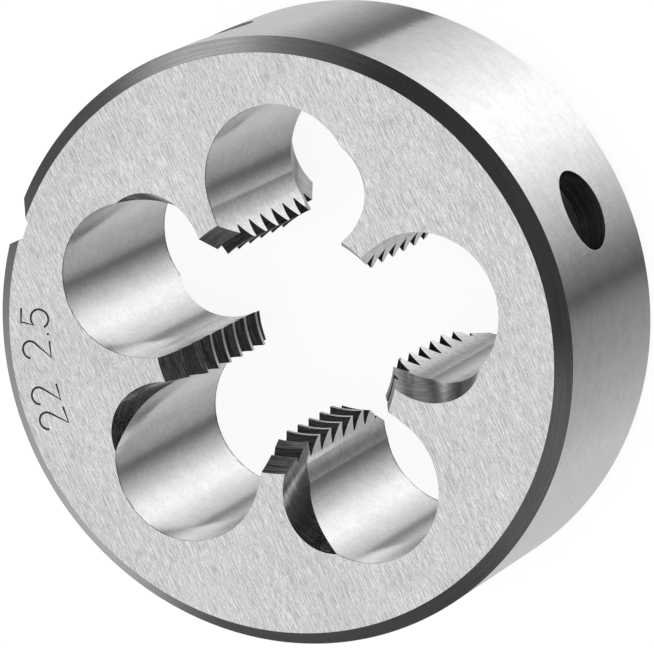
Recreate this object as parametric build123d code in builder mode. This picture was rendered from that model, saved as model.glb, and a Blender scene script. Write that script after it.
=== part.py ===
from build123d import *
from math import cos, hypot, radians, sin, sqrt, tan
import os

# Round threading die for a 22 mm thread of 2.5 mm pitch. It is one piece of hardened high-speed steel.
# Millimetres, +Z up. The die lies on its back face at z = 0, its thread axis is Z, and the adjusting
# groove in its rim and the first chip hole lie on +X. Both ends cut: turning the die over about X
# puts each back feature where the matching front feature was.

# --- Turned blank -------------------------------------------------------------------------------
outer_radius = 27.5
thickness = 22.0
rim_chamfer = 1.3

# --- Thread -------------------------------------------------------------------------------------
major_radius = 11.0
pitch = 2.5
flank_half_angle = 30.0
root_relief = 0.1            # the groove is cut this much past the major radius
tooth_height_share = 0.6     # of the pitch, from the major radius to the tops of the cutting teeth
groove_phase = 1.25          # height of a groove's middle where it crosses +X

# --- Lead at each end ---------------------------------------------------------------------------
mouth_allowance = 0.6        # the lead's mouth is this much wider than the thread groove
lead_half_angle = 26.0
lead_relief_shift = 0.7      # each land's lead cone is turned about an axis shifted by this much
lead_sector = 60.0           # how far one land's lead cone reaches round

# --- Chip holes and the ground sides of the lands -----------------------------------------------
land_count = 5
rim_wall = 5.84              # metal left between a chip hole and the rim
land_wall = 3.1              # metal left between neighbouring chip holes
ground_start_angle = 114.0   # round the chip hole from outward, where the grinding begins
ground_arc_radius = 6.0
land_edge_angle = 26.35      # from the chip hole's middle to the land's edge, about the thread axis

# --- Spiral point cuts, one in each chip hole at each end ----------------------------------------
point_cut_share = 0.71       # of the chip hole's radius
point_cut_inset = 0.6        # its middle, at the face, is this much nearer the axis than the hole's
point_cut_angle = -11.6      # about the thread axis, from the chip hole's middle
point_cut_tilt = 28.5
point_cut_heading = 129.6    # the way it leans as it goes in, from the chip hole's outward line
point_cut_depth = 5.5

# --- Adjusting groove and set screw seats in the rim ---------------------------------------------
groove_depth = 1.63
groove_floor_width = 1.5
groove_half_angle = 45.0
seat_angles = (-135.0, -48.0, 48.0, 135.0)
seat_radius = 3.75
seat_depth = 2.6             # of the full diameter, before the drill's cone
seat_cone_half_angle = 59.0

# --- Cutting allowances --------------------------------------------------------------------------
cutter_overrun = 1.0         # how far a cutter starts outside the metal
groove_cutter_share = 0.96   # of the pitch, the width of the thread cutter inside the bore

# --- Worked out from the sizes above -------------------------------------------------------------
chip_angle = 360 / land_count
chip_spread = sin(radians(chip_angle / 2))
chip_hole_radius = ((outer_radius - rim_wall) * chip_spread - land_wall / 2) / (1 + chip_spread)
chip_pitch_radius = outer_radius - rim_wall - chip_hole_radius
point_cut_radius = point_cut_share * chip_hole_radius
crest_radius = major_radius - tooth_height_share * pitch
root_radius = major_radius + root_relief
mouth_radius = root_radius + mouth_allowance
through = thickness + 2 * cutter_overrun
both_ends = (Location((0, 0, 0)), Location((0, 0, thickness), (180, 0, 0)))


def ground_arc_centre():
    """Middle of the arc, in the first chip hole, that runs from the hole's wall to the land's edge."""
    start_x = chip_pitch_radius + chip_hole_radius * cos(radians(ground_start_angle))
    start_y = chip_hole_radius * sin(radians(ground_start_angle))
    edge_x = crest_radius * cos(radians(land_edge_angle))
    edge_y = crest_radius * sin(radians(land_edge_angle))
    run_x, run_y = edge_x - start_x, edge_y - start_y
    chord = hypot(run_x, run_y)
    rise = sqrt(ground_arc_radius**2 - (chord / 2) ** 2)
    return ((start_x + edge_x) / 2 - rise * run_y / chord, (start_y + edge_y) / 2 + rise * run_x / chord)


# --- Cutters -------------------------------------------------------------------------------------
# One chip hole: the drilled circle, and an arc ground on each side of it up to the land's edge.
ground_x, ground_y = ground_arc_centre()
with BuildPart() as chip_cutter:
    with BuildSketch(Plane.XY.offset(-cutter_overrun)):
        with Locations((chip_pitch_radius, 0)):
            Circle(chip_hole_radius)
        with Locations((ground_x, ground_y), (ground_x, -ground_y)):
            Circle(ground_arc_radius)
    extrude(amount=through)

# One spiral point cut at the front end: a leaning round cutter that enters beside the chip hole and
# runs out inside it, and so tips the first teeth's cutting faces forward.
lean = radians(point_cut_tilt)
heading = radians(point_cut_heading)
entry_radius = chip_pitch_radius - point_cut_inset
point_axis = Vector(sin(lean) * cos(heading), sin(lean) * sin(heading), -cos(lean))
point_entry = Vector(
    entry_radius * cos(radians(point_cut_angle)),
    entry_radius * sin(radians(point_cut_angle)),
    thickness,
)
point_overrun = point_cut_radius * tan(lean) + cutter_overrun
with BuildPart() as point_cutter:
    with BuildSketch(Plane(origin=point_entry - point_axis * point_overrun, z_dir=point_axis)):
        Circle(point_cut_radius)
    extrude(amount=point_overrun + point_cut_depth / cos(lean))

# One land's lead at the front end: a cone that narrows inwards, turned about a shifted axis, so that
# its wall falls away behind the cutting edge.
lead_slope = tan(radians(lead_half_angle))
with BuildPart() as lead_cutter:
    with BuildSketch(Plane.XZ.rotated((0, 0, -lead_sector / 2))):
        with BuildLine():
            Polyline(
                (0, thickness - mouth_radius / lead_slope),
                (mouth_radius + cutter_overrun * lead_slope, thickness + cutter_overrun),
                (0, thickness + cutter_overrun),
                close=True,
            )
        make_face()
    revolve(axis=Axis.Z, revolution_arc=lead_sector)

# The thread groove: a V with a flat root, swept round the axis in whole turns that pass both ends.
flank_slope = tan(radians(flank_half_angle))
sharp_radius = major_radius + pitch / (2 * flank_slope) / 8
root_half_width = (sharp_radius - root_radius) * flank_slope
cutter_half_width = groove_cutter_share * pitch / 2
cutter_radius = sharp_radius - cutter_half_width / flank_slope
groove_start = groove_phase - pitch
turns = int(thickness / pitch) + 2
with BuildPart() as thread_cutter:
    with BuildLine() as thread_path:
        Helix(pitch=pitch, height=turns * pitch, radius=crest_radius, center=(0, 0, groove_start))
    with BuildSketch(Plane.XZ):
        with BuildLine():
            Polyline(
                (cutter_radius, groove_start - cutter_half_width),
                (root_radius, groove_start - root_half_width),
                (root_radius, groove_start + root_half_width),
                (cutter_radius, groove_start + cutter_half_width),
                close=True,
            )
        make_face()
    sweep(path=thread_path.line, is_frenet=True)

# The adjusting groove: a flat floor with two slanting sides, along the whole rim.
floor_half_width = groove_floor_width / 2
open_half_width = floor_half_width + (groove_depth + cutter_overrun) * tan(radians(groove_half_angle))
with BuildPart() as groove_cutter:
    with BuildSketch(Plane.XY.offset(-cutter_overrun)):
        with BuildLine():
            Polyline(
                (outer_radius - groove_depth, -floor_half_width),
                (outer_radius + cutter_overrun, -open_half_width),
                (outer_radius + cutter_overrun, open_half_width),
                (outer_radius - groove_depth, floor_half_width),
                close=True,
            )
        make_face()
    extrude(amount=through)

# One set screw seat: a round drilled hole with the drill's cone at its bottom, halfway up the rim.
seat_floor = outer_radius - seat_depth
seat_point = seat_floor - seat_radius / tan(radians(seat_cone_half_angle))
with BuildPart() as seat_cutter:
    with BuildSketch(Plane.XZ):
        with BuildLine():
            Polyline(
                (outer_radius + cutter_overrun, thickness / 2),
                (outer_radius + cutter_overrun, thickness / 2 + seat_radius),
                (seat_floor, thickness / 2 + seat_radius),
                (seat_point, thickness / 2),
                close=True,
            )
        make_face()
    revolve(axis=Axis((0, 0, thickness / 2), (1, 0, 0)))

# --- The die -------------------------------------------------------------------------------------
# The thread goes into the whole bore first, and the chip holes then part it into the lands' teeth.
with BuildPart() as round_die:
    with BuildSketch():
        Circle(outer_radius)
    extrude(amount=thickness)
    chamfer(round_die.edges(), length=rim_chamfer)
    with BuildSketch(Plane.XY.offset(-cutter_overrun)):
        Circle(crest_radius)
    extrude(amount=through, mode=Mode.SUBTRACT)
    add(thread_cutter.part, mode=Mode.SUBTRACT)
    with PolarLocations(0, land_count):
        add(chip_cutter.part, mode=Mode.SUBTRACT)
    with Locations(*both_ends):
        with PolarLocations(0, land_count, start_angle=chip_angle / 2):
            with Locations((0, -lead_relief_shift, 0)):
                add(lead_cutter.part, mode=Mode.SUBTRACT)
        with PolarLocations(0, land_count):
            add(point_cutter.part, mode=Mode.SUBTRACT)
    add(groove_cutter.part, mode=Mode.SUBTRACT)
    for angle in seat_angles:
        with Locations(Location((0, 0, 0), (0, 0, angle))):
            add(seat_cutter.part, mode=Mode.SUBTRACT)

round_die.part.label = "round_die"
os.makedirs("parts", exist_ok=True)
export_step(round_die.part, "parts/round_die.step")
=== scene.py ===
from math import cos, pi, radians, sin, tan

import bpy
from mathutils import Matrix, Vector


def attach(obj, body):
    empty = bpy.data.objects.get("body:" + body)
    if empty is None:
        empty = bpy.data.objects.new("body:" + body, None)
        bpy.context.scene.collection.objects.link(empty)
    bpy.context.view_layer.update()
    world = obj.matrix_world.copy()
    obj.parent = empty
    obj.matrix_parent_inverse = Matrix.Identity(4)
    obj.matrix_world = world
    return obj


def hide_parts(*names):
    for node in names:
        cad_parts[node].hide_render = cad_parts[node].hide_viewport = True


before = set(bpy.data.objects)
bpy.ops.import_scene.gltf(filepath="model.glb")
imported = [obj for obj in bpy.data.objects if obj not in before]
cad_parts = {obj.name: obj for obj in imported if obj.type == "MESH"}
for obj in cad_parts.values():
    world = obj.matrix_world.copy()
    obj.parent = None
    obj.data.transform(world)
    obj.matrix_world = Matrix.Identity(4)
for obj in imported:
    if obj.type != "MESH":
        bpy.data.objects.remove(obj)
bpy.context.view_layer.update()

MM = 0.001
scene = bpy.context.scene
scene.view_settings.view_transform = "Standard"


# --- Camera ---------------------------------------------------------------------------------------
# A long lens looks steeply down on the die from beside it, rolled so that the adjusting groove lies
# to the left.
camera_place = Vector((-156.754, -181.571, 495.911)) * MM
camera_aim = Vector((-0.268, 0.308, 11.0)) * MM
camera_roll = radians(-117.9)
lens_mm, sensor_mm = 331.5, 36
nearest_seen = 10 * MM

camera = bpy.data.objects.new("camera", bpy.data.cameras.new("camera"))
scene.collection.objects.link(camera)
scene.camera = camera
facing = (camera_aim - camera_place).to_track_quat("-Z", "Y").to_matrix().to_4x4()
roll = Matrix.Rotation(camera_roll, 4, "Z")
camera.matrix_world = Matrix.Translation(camera_place) @ facing @ roll
camera.data.sensor_width = sensor_mm
camera.data.lens = lens_mm
camera.data.clip_start = nearest_seen


# --- Table and studio -----------------------------------------------------------------------------
# A white table under an even white sky. What the steel mirrors is the studio's cards and dark
# gaps, told apart by their bearing round the die and by their height.
def linear(code):
    """The linear colour, with full alpha, of an sRGB hex code."""
    parts = [int(code[i:i + 2], 16) / 255 for i in (0, 2, 4)]
    return tuple(
        p / 12.92 if p <= 0.04045 else ((p + 0.055) / 1.055) ** 2.4 for p in parts) + (1.0,)


def add(tree, kind, values=None, **settings):
    """Adds one node. Each value is a plain one, a socket to link, or a list of sockets."""
    made = tree.nodes.new(kind)
    for name, setting in settings.items():
        setattr(made, name, setting)
    for key, value in (values or {}).items():
        for source in value if isinstance(value, list) else [value]:
            if isinstance(source, bpy.types.NodeSocket):
                tree.links.new(source, made.inputs[key])
            else:
                made.inputs[key].default_value = source
    return made


# Each card or gap is a bearing in degrees and a strength. The first belt lies under the table's
# edge, the second is low, and the third is level with the die.
cards_below = (
    (-180, .26), (-170, .11), (-159, .24), (-139, .61), (-109, 1.2), (-89, 1.32), (-69, 1.04),
    (-36.5, .60), (-34, .17), (-28, .17), (-14, .40), (0, .62), (58, .58), (121, .62), (161, .37),
    (180, .26))
cards_low = (
    (-180, 1.7), (-165, .40), (-150, .24), (-62, .20), (-47, 1.05), (-36, 2.6), (-24, 2.1),
    (-8, .38), (14, .27), (39, .85), (62, 1.3), (74, .27), (125, .26), (158, .55), (170, 1.6),
    (180, 1.7))
cards_level = (
    (-180, .42), (-166, .13), (-74, .12), (-50, .60), (140, .60), (158, .46), (180, .42))
brightest_card = 2.6
overhead = 0.84
# Each next belt comes in between these two heights, from -1 straight down to 1 straight up.
low_from, low_to = -0.86, -0.74
level_from, level_to = 0.10, 0.25
overhead_from, overhead_to = 0.46, 0.60

world = bpy.data.worlds.new("studio")
scene.world = world
world.use_nodes = True
sky = world.node_tree
sky.nodes.clear()
towards = add(sky, "ShaderNodeTexCoord")
split = add(sky, "ShaderNodeSeparateXYZ", {"Vector": towards.outputs["Generated"]})
ray_bearing = add(sky, "ShaderNodeMath", {
    0: split.outputs["Y"], 1: split.outputs["X"]}, operation="ARCTAN2")
bearing_share = add(sky, "ShaderNodeMapRange", {
    "Value": ray_bearing.outputs[0], "From Min": -pi, "From Max": pi, "To Min": 0.0, "To Max": 1.0})
belts = []
for cards in (cards_below, cards_low, cards_level):
    belt = add(sky, "ShaderNodeValToRGB", {"Fac": bearing_share.outputs[0]})
    stops = belt.color_ramp.elements
    for angle, _ in cards[1:-1]:
        stops.new((angle + 180) / 360)
    for stop, (_, strength) in zip(stops, cards):
        stop.color = (strength / brightest_card,) * 3 + (1.0,)
    belts.append(belt.outputs["Color"])
rises = [
    add(sky, "ShaderNodeMapRange", {
        "Value": split.outputs["Z"], "From Min": start, "From Max": end}).outputs[0]
    for start, end in ((low_from, low_to), (level_from, level_to), (overhead_from, overhead_to))]
above = (overhead / brightest_card,) * 3 + (1.0,)
mirrored = belts[0]
for rise, next_belt in zip(rises, (belts[1], belts[2], above)):
    mirrored = add(sky, "ShaderNodeMixRGB", {
        "Fac": rise, "Color1": mirrored, "Color2": next_belt}).outputs[0]
cards_light = add(sky, "ShaderNodeBackground", {"Color": mirrored, "Strength": brightest_card})
even_light = add(sky, "ShaderNodeBackground", {"Color": (1, 1, 1, 1), "Strength": 1.0})
sky_rays = add(sky, "ShaderNodeLightPath")
sky_mix = add(sky, "ShaderNodeMixShader", {
    "Fac": sky_rays.outputs["Is Glossy Ray"], 1: even_light.outputs[0], 2: cards_light.outputs[0]})
add(sky, "ShaderNodeOutputWorld", {"Surface": sky_mix.outputs[0]})

# The table lies just under the die, so that the die's back face isn't in the same plane. Its white
# is mostly its own light, and the rest of it takes the die's shadow.
table_half, table_gap = 900 * MM, 0.02 * MM
table_light, table_light_share = 1.04, 0.88
table_mesh = bpy.data.meshes.new("table")
table_mesh.from_pydata([
    (-table_half, -table_half, 0), (table_half, -table_half, 0),
    (table_half, table_half, 0), (-table_half, table_half, 0)], [], [(0, 1, 2, 3)])
table_mesh.transform(Matrix.Translation((0, 0, -table_gap)))
table = bpy.data.objects.new("table", table_mesh)
scene.collection.objects.link(table)
table.visible_glossy = False
white_table = bpy.data.materials.new("white_table")
white_table.use_nodes = True
laminate = white_table.node_tree
laminate.nodes.clear()
matt = add(laminate, "ShaderNodeBsdfDiffuse", {"Color": linear("FFFFFF")})
glow = add(laminate, "ShaderNodeEmission", {"Color": (1, 1, 1, 1), "Strength": table_light})
table_rays = add(laminate, "ShaderNodeLightPath")
seen = add(laminate, "ShaderNodeMath", {
    0: table_rays.outputs["Is Camera Ray"], 1: table_rays.outputs["Is Transmission Ray"]},
    operation="MAXIMUM")
glow_share = add(laminate, "ShaderNodeMath", {
    0: seen.outputs[0], 1: table_light_share}, operation="MULTIPLY")
table_mix = add(laminate, "ShaderNodeMixShader", {
    "Fac": glow_share.outputs[0], 1: matt.outputs[0], 2: glow.outputs[0]})
add(laminate, "ShaderNodeOutputMaterial", {"Surface": table_mix.outputs[0]})
table_mesh.materials.append(white_table)


# --- The threading die ----------------------------------------------------------------------------
# A round die for a 22 mm thread of 2.5 mm pitch, one piece of high-speed steel. It is turned,
# tapped, drilled and milled while soft, hardened, which leaves it dull and dark, and then ground
# bright on its faces, its rim and its land sides. Each surface keeps the last tool's marks.
outer_radius = 27.5
thickness = 22.0
rim_chamfer = 1.3

pitch = 2.5
major_radius = 11.0
root_radius = 11.1           # of the thread groove, a little past the major radius
crest_radius = 9.5           # of the bore, at the tops of the teeth
flank_slope = tan(radians(30))
thread_cutter_share = 0.96   # of the pitch, the width of the thread cutter inside the bore
groove_phase = 1.25          # height of a thread groove's middle where it crosses +X

land_count = 5
chip_radius = 7.042
chip_pitch_radius = 14.618   # of the circle that the chip holes' middles lie on
ground_arc_radius = 6.0
ground_arc_x, ground_arc_y = 13.332, 0.642

mouth_radius = 11.7          # of the lead, at the face
lead_slope = tan(radians(26))
lead_depth = 6.0             # where the lead's cutter ends, inside the bore
lead_shift = 0.7             # how far each land's lead cone lies off the axis

point_radius = 5.0
point_depth = 5.5
point_lean = radians(28.5)
point_heading = radians(129.6)    # the way it leans as it goes in, from the hole's outward line
point_entry_radius = 14.018
point_entry_bearing = radians(-11.6)

groove_depth = 1.63
groove_floor = 1.5

seat_angles = (-135.0, -48.0, 48.0, 135.0)
seat_radius = 3.75
seat_depth = 2.6             # of the full diameter, before the drill's cone
seat_slope = tan(radians(59))

number_height = 2.75
number_places = (("22", 23.65, 37.0), ("2.5", 23.65, 20.5))    # text, radius, bearing in degrees
stroke_radius = 0.095

overrun = 1.0                # how far each cutter starts outside the metal
weld = 0.002                 # points nearer than this are one point
up = (0.0, 0.0, 1.0)


def steel(
        name, colour, roughness, marks,
        stretch=0.0, along=None, turned=0.0, tool_frame=False, painted_mouth_shade=0.0):
    """A bare steel finish.

    Its scratches stretch the mirror image towards along, which lies across them. Each of the marks
    is a noise: its lengths in mm in a frame turned about Z, how much it shades the steel, and its
    height in mm. With tool_frame the marks follow the cutter that made the wall. The ragged last
    bit of wall below a mouth in either face is painted that much darker, as painted shade along
    the mouth's edge.
    """
    edge_radius, edge_samples = 0.05, 6
    noise_detail = 2.0
    noise_low, noise_high = 0.25, 0.75         # most of a noise lies between these values
    ragged_low, ragged_high = 0.35, 0.65
    mouth_grain, mouth_least, mouth_most = 0.5, 0.12, 0.42
    made = bpy.data.materials.new(name)
    made.use_nodes = True
    nodes = made.node_tree
    nodes.nodes.clear()
    shader = add(nodes, "ShaderNodeBsdfPrincipled", {
        "Base Color": linear(colour), "Metallic": 1.0, "Roughness": roughness,
        "Anisotropic": stretch})
    if along:
        direction = add(nodes, "ShaderNodeCombineXYZ", dict(zip("XYZ", along)))
        nodes.links.new(direction.outputs[0], shader.inputs["Tangent"])
    rounded_edge = add(nodes, "ShaderNodeBevel", {"Radius": edge_radius * MM}, samples=edge_samples)
    normal = rounded_edge.outputs[0]
    place = on_die = add(nodes, "ShaderNodeTexCoord").outputs["Object"]
    if tool_frame:
        place = add(nodes, "ShaderNodeAttribute", attribute_name="tool_frame").outputs["Vector"]
    shade = 1.0
    for lengths, contrast, height in marks:
        spot = add(nodes, "ShaderNodeMapping", {
            "Vector": place, "Rotation": (0, 0, turned),
            "Scale": tuple(length * MM for length in lengths)}, vector_type="TEXTURE")
        grain = add(nodes, "ShaderNodeTexNoise", {
            "Vector": spot.outputs[0], "Scale": 1.0, "Detail": noise_detail})
        factor = add(nodes, "ShaderNodeMapRange", {
            "Value": grain.outputs[0], "From Min": noise_low, "From Max": noise_high,
            "To Min": 1 - contrast, "To Max": 1 + contrast}, clamp=False)
        shade = add(nodes, "ShaderNodeMath", {
            0: shade, 1: factor.outputs[0]}, operation="MULTIPLY").outputs[0]
        if height:
            normal = add(nodes, "ShaderNodeBump", {
                "Height": grain.outputs[0], "Distance": height * MM, "Normal": normal}).outputs[0]
    # Painted shade: the ragged last bit of wall below each mouth is darkened, for the shade along
    # the mouth's edge.
    if painted_mouth_shade:
        rise = add(nodes, "ShaderNodeSeparateXYZ", {"Vector": on_die}).outputs["Z"]
        from_middle = add(nodes, "ShaderNodeMath", {
            0: rise, 1: thickness * MM / 2}, operation="SUBTRACT")
        far = add(nodes, "ShaderNodeMath", {0: from_middle.outputs[0]}, operation="ABSOLUTE")
        ragged = add(nodes, "ShaderNodeTexNoise", {
            "Vector": on_die, "Scale": 1 / (mouth_grain * MM), "Detail": noise_detail})
        inner_edge = add(nodes, "ShaderNodeMapRange", {
            "Value": ragged.outputs[0], "From Min": ragged_low, "From Max": ragged_high,
            "To Min": (thickness / 2 - mouth_least) * MM,
            "To Max": (thickness / 2 - mouth_most) * MM})
        mouth_shade_factor = add(nodes, "ShaderNodeMapRange", {
            "Value": far.outputs[0], "From Min": inner_edge.outputs[0],
            "From Max": thickness / 2 * MM, "To Min": 1.0, "To Max": 1 - painted_mouth_shade})
        shade = add(nodes, "ShaderNodeMath", {
            0: shade, 1: mouth_shade_factor.outputs[0]}, operation="MULTIPLY").outputs[0]
    tone = add(nodes, "ShaderNodeVectorMath", {
        0: linear(colour)[:3], "Scale": shade}, operation="SCALE")
    nodes.links.new(tone.outputs[0], shader.inputs["Base Color"])
    nodes.links.new(normal, shader.inputs["Normal"])
    add(nodes, "ShaderNodeOutputMaterial", {"Surface": shader.outputs[0]})
    return made


# The sizes that the tree takes, in mm. The thread cutter is a V, nearly a pitch wide, with a flat
# root.
sharp_radius = major_radius + pitch / (2 * flank_slope) / 8
vee_half_width = thread_cutter_share * pitch / 2
vee_inner = sharp_radius - vee_half_width / flank_slope - crest_radius
vee_outer = root_radius - crest_radius
vee_root = (sharp_radius - root_radius) * flank_slope
turns = int(thickness / pitch) + 2
point_axis = Vector((
    sin(point_lean) * cos(point_heading), sin(point_lean) * sin(point_heading), -cos(point_lean)))
point_entry = Vector((
    point_entry_radius * cos(point_entry_bearing), point_entry_radius * sin(point_entry_bearing),
    thickness))
point_overrun = point_radius * tan(point_lean) + overrun
point_length = point_overrun + point_depth / cos(point_lean)
groove_mouth = groove_floor / 2 + groove_depth + overrun
sizes = {
    "Outer Radius": outer_radius, "Face Radius": outer_radius - rim_chamfer,
    "Chamfer": rim_chamfer, "Rim Height": thickness - 2 * rim_chamfer,
    "Chamfer Place": (0, 0, thickness - rim_chamfer),
    "Middle": (0, 0, thickness / 2), "Front": (0, 0, thickness),
    "Through": thickness + 2 * overrun,
    "Crest Radius": crest_radius,
    "Thread Height": turns * pitch, "Thread Start": (0, 0, groove_phase - pitch),
    "Thread Profile 1": (vee_inner, -vee_half_width, 0),
    "Thread Profile 2": (vee_outer, -vee_root, 0),
    "Thread Profile 3": (vee_outer, vee_root, 0),
    "Thread Profile 4": (vee_inner, vee_half_width, 0),
    "Chip Radius": chip_radius, "Chip Place": (chip_pitch_radius, 0, thickness / 2),
    "Ground Radius": ground_arc_radius,
    "Ground Place 1": (ground_arc_x, ground_arc_y, thickness / 2),
    "Ground Place 2": (ground_arc_x, -ground_arc_y, thickness / 2),
    "Lead Top Radius": mouth_radius + overrun * lead_slope,
    "Lead Bottom Radius": mouth_radius - lead_depth * lead_slope,
    "Lead Length": lead_depth + overrun, "Lead Place": (0, 0, thickness - lead_depth),
    "Lead Shift": lead_shift,
    "Point Radius": point_radius, "Point Length": point_length,
    "Point Middle": tuple(point_entry + point_axis * (point_length / 2 - point_overrun)),
    "Groove Profile 1": (outer_radius - groove_depth, -groove_floor / 2, 0),
    "Groove Profile 2": (outer_radius + overrun, -groove_mouth, 0),
    "Groove Profile 3": (outer_radius + overrun, groove_mouth, 0),
    "Groove Profile 4": (outer_radius - groove_depth, groove_floor / 2, 0),
    "Groove Start": (0, 0, -overrun), "Groove End": (0, 0, thickness + overrun),
    "Seat Radius": seat_radius, "Seat Length": seat_depth + overrun,
    "Seat Tip": seat_radius / seat_slope,
    "Seat Middle": (0, 0, (seat_depth + overrun) / 2), "Seat Mouth": (0, 0, seat_depth + overrun),
    "Seat Floor": (outer_radius - seat_depth, 0, thickness / 2),
    "Stroke Radius": stroke_radius,
}
shape = bpy.data.node_groups.new("threading_die_shape", "GeometryNodeTree")
shape.interface.new_socket("Geometry", in_out="OUTPUT", socket_type="NodeSocketGeometry")
shape.interface.new_socket("Geometry", in_out="INPUT", socket_type="NodeSocketGeometry")
for name, value in sizes.items():
    kind = "NodeSocketVector" if isinstance(value, tuple) else "NodeSocketFloat"
    shape.interface.new_socket(name, in_out="INPUT", socket_type=kind)
given = add(shape, "NodeGroupInput").outputs
position = add(shape, "GeometryNodeInputPosition").outputs[0]
index = add(shape, "GeometryNodeInputIndex").outputs[0]


def in_place(part, finish, place=(0, 0, 0), turn=(0, 0, 0)):
    """The part in its finish, moved to its place. Its tool_frame keeps where each point was."""
    framed = add(shape, "GeometryNodeStoreNamedAttribute", {
        "Geometry": part, "Name": "tool_frame", "Value": position},
        data_type="FLOAT_VECTOR", domain="CORNER")
    finished = add(shape, "GeometryNodeSetMaterial", {
        "Geometry": framed.outputs[0], "Material": finish})
    return add(shape, "GeometryNodeTransform", {
        "Geometry": finished.outputs[0], "Translation": place, "Rotation": turn}).outputs[0]


def all_round(part, spots, turn):
    """A copy of the part for each spot, turned about the die's axis."""
    copies = add(shape, "GeometryNodeInstanceOnPoints", {
        "Points": spots, "Instance": part, "Rotation": turn})
    return add(shape, "GeometryNodeRealizeInstances", {"Geometry": copies.outputs[0]}).outputs[0]


def at_both_ends(part):
    """The part at the front end, and turned over about X at the back end."""
    back = add(shape, "GeometryNodeTransform", {
        "Geometry": part, "Rotation": (pi, 0, 0), "Translation": given["Front"]})
    return add(shape, "GeometryNodeJoinGeometry", {"Geometry": [part, back.outputs[0]]}).outputs[0]


# The blank. The faces come off a surface grinder: straight short scratches, all one way, which give
# a light satin grey. They are really a few hundredths of a millimetre wide, and are drawn 0.08 to
# 0.10 mm wide so that they show.
grind_bearing = radians(134.7)
across_grind = (cos(grind_bearing - pi / 2), sin(grind_bearing - pi / 2), 0.0)
face_finish = steel(
    "surface_ground_face", "DEDEDE", 0.32, turned=grind_bearing, stretch=0.5, along=across_grind,
    marks=(
        ((0.8, 0.08, 1.0), 0.34, 0.002), ((3.0, 0.10, 1.0), 0.28, 0.0),
        ((0.2, 0.2, 0.2), 0.14, 0.0), ((9.0, 6.0, 9.0), 0.05, 0.0)))
# The rim is ground between centres: nearly a mirror, with a soft mottle and with faint lines round
# it, which are drawn 0.10 mm wide.
rim_finish = steel("cylindrically_ground_rim", "E0E0E0", 0.08, stretch=0.6, along=up, marks=(
    ((6.0, 6.0, 0.10), 0.06, 0.0), ((0.3, 0.3, 0.4), 0.08, 0.001), ((1.6, 1.6, 1.2), 0.07, 0.004)))
# The chamfers are only turned, so hardening has left them dark, with the lathe's fine lines round
# them. Its feed of a few hundredths is drawn as 0.07 mm.
chamfer_finish = steel("turned_chamfer", "777777", 0.22, stretch=0.3, marks=(
    ((5.0, 5.0, 0.07), 0.20, 0.0), ((0.3, 0.3, 0.1), 0.10, 0.0)))
rim_steps = 240
rim = add(shape, "GeometryNodeMeshCylinder", {
    "Vertices": rim_steps, "Radius": given["Outer Radius"], "Depth": given["Rim Height"]},
    fill_type="NONE")
chamfer = add(shape, "GeometryNodeMeshCone", {
    "Vertices": rim_steps, "Radius Top": given["Face Radius"],
    "Radius Bottom": given["Outer Radius"], "Depth": given["Chamfer"]}, fill_type="NONE")
face = add(shape, "GeometryNodeMeshCircle", {
    "Vertices": rim_steps, "Radius": given["Face Radius"]}, fill_type="NGON")
end = add(shape, "GeometryNodeJoinGeometry", {"Geometry": [
    in_place(chamfer.outputs[0], chamfer_finish, given["Chamfer Place"]),
    in_place(face.outputs[0], face_finish, given["Front"])]})
shell = add(shape, "GeometryNodeJoinGeometry", {"Geometry": [
    in_place(rim.outputs[0], rim_finish, given["Middle"]), at_both_ends(end.outputs[0])]})
blank = add(shape, "GeometryNodeMergeByDistance", {
    "Geometry": shell.outputs[0], "Distance": weld * MM})

# The bore, which leaves the narrow tops of the teeth, is ground after hardening: bright bare metal
# with the wheel's lines round it, drawn 0.08 mm wide.
crest_finish = steel("ground_tooth_crest", "D8D8D8", 0.25, marks=(((2.0, 2.0, 0.08), 0.15, 0.0),))
rod = add(shape, "GeometryNodeMeshCylinder", {
    "Vertices": rim_steps, "Radius": given["Crest Radius"], "Depth": given["Through"]})
bore = in_place(rod.outputs[0], crest_finish, given["Middle"])

# The thread is one V-shaped groove that climbs to the right. It is tapped before hardening and
# can't be ground, so its flanks keep a dark scale, and their colour is darkened further, almost to
# black, as painted shade of the deep, narrow grooves. The tap's torn lines run along them, drawn
# 0.08 mm wide.
thread_scale_and_shade = steel("tapped_thread", "343434", 0.34, marks=(
    ((2.5, 2.5, 0.08), 0.7, 0.002), ((0.3, 0.3, 0.3), 0.3, 0.0)))
steps_a_turn = 120
spiral = add(shape, "GeometryNodeCurveSpiral", {
    "Resolution": steps_a_turn, "Rotations": float(turns), "Start Radius": given["Crest Radius"],
    "End Radius": given["Crest Radius"], "Height": given["Thread Height"], "Reverse": True})
upright = add(shape, "GeometryNodeSetCurveNormal", {"Curve": spiral.outputs[0]}, mode="Z_UP")
vee = add(shape, "GeometryNodeCurvePrimitiveQuadrilateral", {
    f"Point {n}": given[f"Thread Profile {n}"] for n in (1, 2, 3, 4)}, mode="POINTS")
tap = add(shape, "GeometryNodeCurveToMesh", {
    "Curve": upright.outputs[0], "Profile Curve": vee.outputs[0], "Fill Caps": True})
thread = in_place(tap.outputs[0], thread_scale_and_shade, given["Thread Start"])

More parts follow.
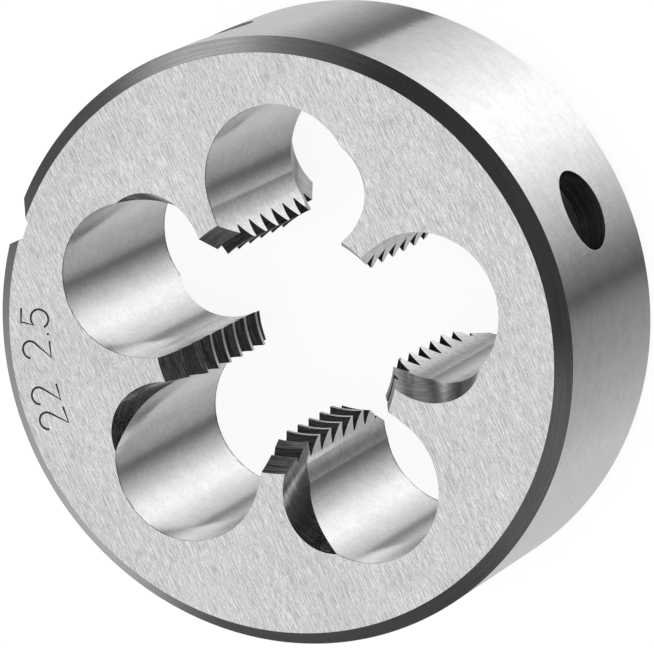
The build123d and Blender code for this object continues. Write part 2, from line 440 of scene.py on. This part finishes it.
# The chip holes are reamed through: a satin mirror of soft clouds with faint rings, drawn 0.2 mm
# wide, and a ragged dark line of painted shade along each mouth's edge.
hole_finish = steel("reamed_chip_hole", "E0E0E0", 0.16, stretch=0.5, along=up, painted_mouth_shade=0.9, marks=(
    ((3.0, 3.0, 0.2), 0.03, 0.0), ((0.4, 0.4, 0.6), 0.07, 0.001), ((1.6, 1.6, 2.6), 0.05, 0.008)))
land_bearing = add(shape, "ShaderNodeMath", {
    0: index, 1: 2 * pi / land_count}, operation="MULTIPLY")
land_turn = add(shape, "ShaderNodeCombineXYZ", {"Z": land_bearing.outputs[0]}).outputs[0]
land_spots = add(shape, "GeometryNodePoints", {"Count": land_count}).outputs[0]
hole_steps = 128
reamer = add(shape, "GeometryNodeMeshCylinder", {
    "Vertices": hole_steps, "Radius": given["Chip Radius"], "Depth": given["Through"]})
chip_hole = in_place(reamer.outputs[0], hole_finish, given["Chip Place"])
chip_holes = all_round(chip_hole, land_spots, land_turn)

# The land sides, from the hole's wall to the teeth, are ground after hardening with a round wheel:
# as bright as the holes, with the same lines a little stronger, and a fainter ragged line of
# painted shade along each mouth's edge.
side_finish = steel("ground_land_side", "DEDEDE", 0.22, stretch=0.5, along=up, painted_mouth_shade=0.7, marks=(
    ((3.0, 3.0, 0.2), 0.06, 0.0), ((0.4, 0.4, 0.6), 0.12, 0.002), ((1.6, 1.6, 2.6), 0.06, 0.01)))
wheel = add(shape, "GeometryNodeMeshCylinder", {
    "Vertices": hole_steps, "Radius": given["Ground Radius"], "Depth": given["Through"]})
land_sides = [
    all_round(
        in_place(wheel.outputs[0], side_finish, given[f"Ground Place {side}"]),
        land_spots, land_turn)
    for side in (1, 2)]

# The leads are cones at both ends that fall away behind each land's cutting edge. They are turned
# with a relieving motion: mid grey with strong fine lines round them, drawn 0.10 mm wide.
lead_finish = steel("relieved_lead", "7E7E7E", 0.34, marks=(
    ((2.5, 2.5, 0.10), 0.8, 0.004), ((0.4, 0.4, 0.2), 0.3, 0.0)))
lead_steps = 360
funnel = add(shape, "GeometryNodeMeshCone", {
    "Vertices": lead_steps, "Radius Top": given["Lead Top Radius"],
    "Radius Bottom": given["Lead Bottom Radius"], "Depth": given["Lead Length"]})
spot = add(shape, "ShaderNodeSeparateXYZ", {"Vector": position}).outputs
spot_bearing = add(shape, "ShaderNodeMath", {0: spot["Y"], 1: spot["X"]}, operation="ARCTAN2")
on_land = add(shape, "ShaderNodeMath", {
    0: spot_bearing.outputs[0], 1: 2 * pi / land_count, 2: 0.0}, operation="WRAP")
off_middle = add(shape, "ShaderNodeMath", {
    0: on_land.outputs[0], 1: pi / land_count}, operation="SUBTRACT")
side_share = add(shape, "ShaderNodeMath", {0: off_middle.outputs[0]}, operation="SINE")
fall = add(shape, "ShaderNodeMath", {
    0: side_share.outputs[0], 1: given["Lead Shift"]}, operation="MULTIPLY")
level_spot = add(shape, "ShaderNodeCombineXYZ", {"X": spot["X"], "Y": spot["Y"]})
outward = add(shape, "ShaderNodeVectorMath", {0: level_spot.outputs[0]}, operation="NORMALIZE")
inward = add(shape, "ShaderNodeVectorMath", {
    0: outward.outputs[0], "Scale": -1.0}, operation="SCALE")
shift = add(shape, "ShaderNodeVectorMath", {
    0: inward.outputs[0], "Scale": fall.outputs[0]}, operation="SCALE")
relieved = add(shape, "GeometryNodeSetPosition", {
    "Geometry": funnel.outputs[0], "Offset": shift.outputs[0]})
leads = at_both_ends(in_place(relieved.outputs[0], lead_finish, given["Lead Place"]))

# The point cuts lean into each chip hole at each end and push the chips ahead. A coarse wheel
# grinds them: dark and glossy, with curved streaks that follow the wheel, drawn 0.11 mm wide.
point_finish = steel("ground_point_cut", "848484", 0.20, stretch=0.5, tool_frame=True, marks=(
    ((4.0, 4.0, 0.11), 0.55, 0.003), ((0.6, 0.6, 0.3), 0.2, 0.0)))
stone = add(shape, "GeometryNodeMeshCylinder", {
    "Vertices": hole_steps, "Radius": given["Point Radius"], "Depth": given["Point Length"]})
leaning = in_place(
    stone.outputs[0], point_finish, given["Point Middle"], (0, -point_lean, point_heading))
point_cuts = at_both_ends(all_round(leaning, land_spots, land_turn))

# The adjusting groove is milled along the rim before hardening: plain grey with lines along it,
# drawn 0.3 mm wide.
groove_finish = steel("milled_groove", "A4A4A4", 0.35, marks=(
    ((0.3, 0.3, 3.0), 0.2, 0.002), ((0.4, 0.4, 0.3), 0.1, 0.0)))
upward = add(shape, "GeometryNodeCurvePrimitiveLine", {
    "Start": given["Groove Start"], "End": given["Groove End"]})
mill = add(shape, "GeometryNodeCurvePrimitiveQuadrilateral", {
    f"Point {n}": given[f"Groove Profile {n}"] for n in (1, 2, 3, 4)}, mode="POINTS")
milling = add(shape, "GeometryNodeCurveToMesh", {
    "Curve": upward.outputs[0], "Profile Curve": mill.outputs[0], "Fill Caps": True})
groove = in_place(milling.outputs[0], groove_finish)

# The seats of the holder's screws are drilled into the rim before hardening, which leaves their
# walls dark, with the drill's rings, about as wide as its feed. The cone below them is darker
# still: its black scale, and painted shade for the depth of the seat.
seat_finish = steel("drilled_seat", "989898", 0.28, tool_frame=True, marks=(
    ((9.0, 9.0, 0.22), 0.6, 0.02), ((0.6, 0.6, 0.2), 0.2, 0.0)))
cone_scale_and_shade = steel("drill_cone_scale_and_shade", "5E5E5E", 0.36, tool_frame=True, marks=(
    ((9.0, 9.0, 0.22), 0.4, 0.01), ((0.6, 0.6, 0.2), 0.3, 0.0)))
seat_steps = 96
wall = add(shape, "GeometryNodeMeshCylinder", {
    "Vertices": seat_steps, "Radius": given["Seat Radius"], "Depth": given["Seat Length"]},
    fill_type="NONE")
lid = add(shape, "GeometryNodeMeshCircle", {
    "Vertices": seat_steps, "Radius": given["Seat Radius"]}, fill_type="NGON")
tip = add(shape, "GeometryNodeMeshCone", {
    "Vertices": seat_steps, "Radius Top": 0.0, "Radius Bottom": given["Seat Radius"],
    "Depth": given["Seat Tip"]}, fill_type="NONE")
bit = add(shape, "GeometryNodeJoinGeometry", {"Geometry": [
    in_place(wall.outputs[0], seat_finish, given["Seat Middle"]),
    in_place(lid.outputs[0], seat_finish, given["Seat Mouth"]),
    in_place(tip.outputs[0], cone_scale_and_shade, turn=(pi, 0, 0))]})
closed = add(shape, "GeometryNodeMergeByDistance", {
    "Geometry": bit.outputs[0], "Distance": weld * MM})
lying = add(shape, "GeometryNodeTransform", {
    "Geometry": closed.outputs[0], "Rotation": (0, pi / 2, 0), "Translation": given["Seat Floor"]})
seat_turn = add(shape, "GeometryNodeIndexSwitch", {"Index": index}, data_type="VECTOR")
while len(seat_turn.index_switch_items) < len(seat_angles):
    seat_turn.index_switch_items.new()
for n, angle in enumerate(seat_angles):
    seat_turn.inputs[n + 1].default_value = (0, 0, radians(angle))
seat_spots = add(shape, "GeometryNodePoints", {"Count": len(seat_angles)}).outputs[0]
seats = all_round(lying.outputs[0], seat_spots, seat_turn.outputs[0])

# The size numbers in the front face are single strokes, burnt in with a marking laser: matt and
# dark.
number_finish = steel("engraved_line", "4C4C4C", 0.5, marks=(((0.3, 0.3, 0.3), 0.3, 0.0),))
stroke_steps = 12
strokes = add(shape, "GeometryNodeMeshToCurve", {"Mesh": given["Geometry"]})
nose = add(shape, "GeometryNodeCurvePrimitiveCircle", {
    "Resolution": stroke_steps, "Radius": given["Stroke Radius"]})
engraver = add(shape, "GeometryNodeCurveToMesh", {
    "Curve": strokes.outputs[0], "Profile Curve": nose.outputs[0], "Fill Caps": True})
numbers = in_place(engraver.outputs[0], number_finish)

# Each cutter in turn, which leaves its own finish on the walls that it makes.
body = blank.outputs[0]
for cutter in (bore, thread, chip_holes, *land_sides, leads, point_cuts, groove, seats, numbers):
    body = add(shape, "GeometryNodeMeshBoolean", {
        "Mesh 1": body, "Mesh 2": cutter}, operation="DIFFERENCE", solver="MANIFOLD").outputs[0]

# The walls shade as the smooth curves they are, up to each real edge.
real_edge = radians(11)
smooth = add(shape, "GeometryNodeSetShadeSmooth", {
    "Geometry": body, "Shade Smooth": True}, domain="FACE")
bend = add(shape, "GeometryNodeInputMeshEdgeAngle")
sharp = add(shape, "FunctionNodeCompare", {
    "A": bend.outputs[0], "B": real_edge}, operation="GREATER_THAN", data_type="FLOAT")
edged = add(shape, "GeometryNodeSetShadeSmooth", {
    "Geometry": smooth.outputs[0], "Selection": sharp.outputs[0], "Shade Smooth": False},
    domain="EDGE")
realized = add(shape, "GeometryNodeRealizeInstances", {"Geometry": edged.outputs[0]})
add(shape, "NodeGroupOutput", {"Geometry": realized.outputs[0]})


def arc(x, y, radius, start, end, steps=14):
    """Points along an arc, in shares of the number's height."""
    angles = [radians(start + (end - start) * n / steps) for n in range(steps + 1)]
    return [(x + radius * cos(angle), y + radius * sin(angle)) for angle in angles]


# Each digit's width and strokes, in shares of its height. The numbers stand on a circle about the
# axis, with their heads outwards.
digit_strokes = {
    "2": (0.84, [arc(0.3, 0.71, 0.28, 170, -38) + [(0.02, 0.0), (0.6, 0.0)]]),
    "5": (0.84, [[(0.54, 1.0), (0.1, 1.0), (0.04, 0.55)] + arc(0.27, 0.33, 0.32, 118, -150)]),
    ".": (0.24, [[(0.0, 0.0), (0.0, 0.08)]]),
}
points, lines = [], []
for text, text_radius, text_bearing in number_places:
    along = -sum(digit_strokes[digit][0] for digit in text) * number_height / 2
    for digit in text:
        width, paths = digit_strokes[digit]
        for path in paths:
            for n, (x, y) in enumerate(path):
                out = text_radius + (y - 0.5) * number_height
                angle = radians(text_bearing) - (along + x * number_height) / text_radius
                points.append(Vector((out * cos(angle), out * sin(angle), thickness)) * MM)
                if n:
                    lines.append((len(points) - 2, len(points) - 1))
        along += width * number_height
number_mesh = bpy.data.meshes.new("numbers")
number_mesh.from_pydata(points, lines, [])

# The tree makes the die round the numbers' strokes, and the result is kept as a plain mesh.
maker = bpy.data.objects.new("maker", number_mesh)
scene.collection.objects.link(maker)
modifier = maker.modifiers.new("shape", "NODES")
modifier.node_group = shape
for socket in shape.interface.items_tree:
    if socket.in_out == "INPUT" and socket.name in sizes:
        value = sizes[socket.name]
        in_metres = [v * MM for v in value] if isinstance(value, tuple) else value * MM
        modifier[socket.identifier] = in_metres
made = bpy.data.meshes.new_from_object(maker.evaluated_get(bpy.context.evaluated_depsgraph_get()))
maker.modifiers.remove(modifier)
bpy.data.objects.remove(maker)
made.name = "threading_die"
made.materials.pop(index=0)     # the tree's own empty slot, which no face uses
die = bpy.data.objects.new("threading_die", made)
scene.collection.objects.link(die)
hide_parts("round_die")
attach(die, "root")
